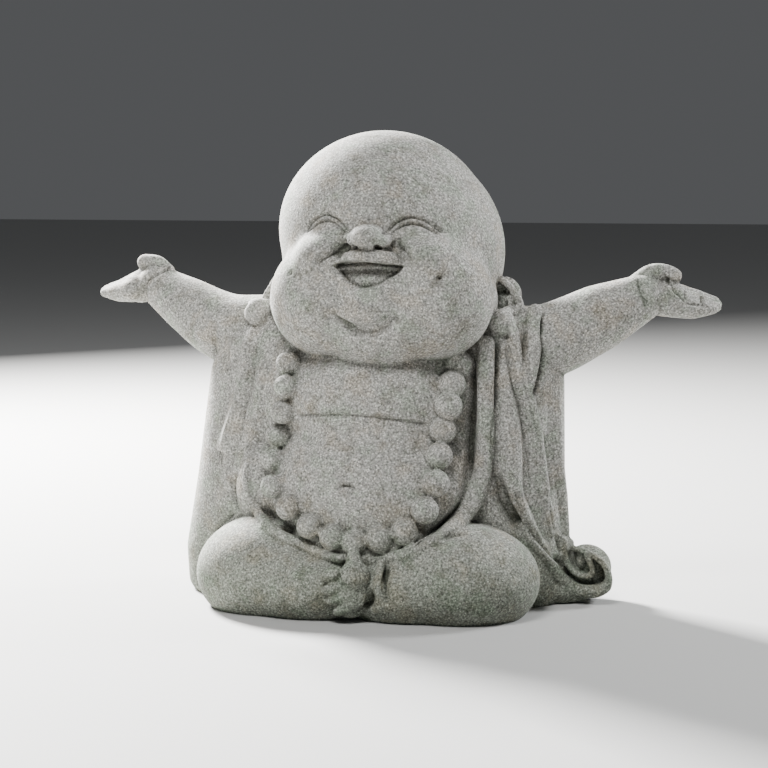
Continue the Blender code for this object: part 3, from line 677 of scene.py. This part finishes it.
def noise(size, detail, roughness=0.5):
    """Soft random patches of a size in metres."""
    texture = nodes.new("ShaderNodeTexNoise")
    texture.inputs["Scale"].default_value = 1 / size
    texture.inputs["Detail"].default_value = detail
    texture.inputs["Roughness"].default_value = roughness
    links.new(place.outputs["Object"], texture.inputs["Vector"])
    return texture.outputs["Fac"]


def stretched(value, low, high, ease="SMOOTHSTEP"):
    """A value between two limits, stretched to run from 0 to 1."""
    spread = nodes.new("ShaderNodeMapRange")
    spread.interpolation_type = ease
    links.new(value, spread.inputs["Value"])
    spread.inputs["From Min"].default_value = low
    spread.inputs["From Max"].default_value = high
    return spread.outputs["Result"]


def tinted(colour, tint, factor, blend="MULTIPLY"):
    """A colour mixed with a tint, as far as the factor says."""
    mix = nodes.new("ShaderNodeMix")
    mix.data_type = "RGBA"
    mix.blend_type = blend
    links.new(factor, mix.inputs["Factor"])
    links.new(colour, mix.inputs["A"])
    mix.inputs["B"].default_value = tint
    return mix.outputs["Result"]


grain = noise(GRAIN, 2, 0.6)
shade = nodes.new("ShaderNodeValToRGB")
links.new(grain, shade.inputs["Fac"])
ramp = shade.color_ramp
ramp.elements[0].position, ramp.elements[0].color = GRAIN_SHADES[0][0], (*GRAIN_SHADES[0][1], 1)
ramp.elements[1].position, ramp.elements[1].color = GRAIN_SHADES[-1][0], (*GRAIN_SHADES[-1][1], 1)
for position, colour in GRAIN_SHADES[1:-1]:
    ramp.elements.new(position).color = (*colour, 1)

crystals = nodes.new("ShaderNodeTexVoronoi")
crystals.inputs["Scale"].default_value = 1 / CRYSTAL
links.new(place.outputs["Object"], crystals.inputs["Vector"])
crystal = stretched(crystals.outputs["Distance"], 0.22, 0.05)
colour = tinted(shade.outputs["Color"], PALE_CRYSTAL, crystal, "MIX")

stain = noise(STAIN, 4, 0.6)
colour = tinted(colour, WARM_STAIN, stretched(stain, 0.5, 0.68))
colour = tinted(colour, GREEN_STAIN, stretched(stain, 0.5, 0.34))
colour = tinted(colour, SMUDGE_SHADE, stretched(noise(SMUDGE, 3, 0.6), 0.5, 0.7))

height = nodes.new("ShaderNodeSeparateXYZ")
links.new(place.outputs["Object"], height.inputs["Vector"])
colour = tinted(colour, DAMP_SHADE, stretched(height.outputs["Z"], DAMP_FROM, DAMP_TO))

# painted shade and grime: the stored amount darkens the hollows and the undersides
dirt_and_painted_shade_node = nodes.new("ShaderNodeAttribute")
dirt_and_painted_shade_node.attribute_name = "dirt_and_painted_shade"
colour = tinted(colour, DIRT_AND_PAINTED_SHADE, stretched(dirt_and_painted_shade_node.outputs["Fac"], 0.04, 0.9))
links.new(colour, shader.inputs["Base Color"])

bump = nodes.new("ShaderNodeBump")
bump.inputs["Strength"].default_value = GRAIN_RELIEF
bump.inputs["Distance"].default_value = GRAIN_HEIGHT
links.new(grain, bump.inputs["Height"])
links.new(bump.outputs["Normal"], shader.inputs["Normal"])
statue.data.materials.clear()
statue.data.materials.append(sandstone)


# The studio: a plain pale floor and a soft key light from the figure's right and behind.
# A weak light from above in front and a weak rim light fill the shaded sides.
FLOOR_REACH = 3
FLOOR_SHADE, FLOOR_ROUGHNESS = (0.44, 0.44, 0.43, 1), 0.8
SKY_SHADE, SKY_STRENGTH = (0.75, 0.77, 0.8, 1), 0.12

floor_clay = bmesh.new()
bmesh.ops.create_grid(floor_clay, x_segments=1, y_segments=1, size=FLOOR_REACH)
floor = object_from(floor_clay, "floor")
paper = bpy.data.materials.new("pale floor")
paper.use_nodes = True
paper.node_tree.nodes["Principled BSDF"].inputs["Base Color"].default_value = FLOOR_SHADE
paper.node_tree.nodes["Principled BSDF"].inputs["Roughness"].default_value = FLOOR_ROUGHNESS
floor.data.materials.append(paper)

# each light's place and size in metres, its power and its colour
LIGHTS = [
    ("key", (-0.38, 0.34, 0.34), 0.12, 46, (1.0, 0.99, 0.98)),
    ("overhead", (-0.06, -0.36, 0.62), 0.22, 4.6, (1.0, 1.0, 1.0)),
    ("rim", (0.42, 0.26, 0.30), 0.12, 4.0, (0.97, 0.98, 1.0)),
]
for name, at, size, power, colour in LIGHTS:
    lamp = bpy.data.lights.new(name, "AREA")
    lamp.size = size
    lamp.energy = power
    lamp.color = colour
    lamp_object = bpy.data.objects.new(name, lamp)
    lamp_object.location = at
    lamp_object.rotation_euler = (Vector(at) - UNIT * CAMERA_AIM).to_track_quat("Z", "Y").to_euler()
    bpy.context.scene.collection.objects.link(lamp_object)
surroundings = bpy.data.worlds.new("studio")
surroundings.use_nodes = True
surroundings.node_tree.nodes["Background"].inputs["Color"].default_value = SKY_SHADE
surroundings.node_tree.nodes["Background"].inputs["Strength"].default_value = SKY_STRENGTH
bpy.context.scene.world = surroundings
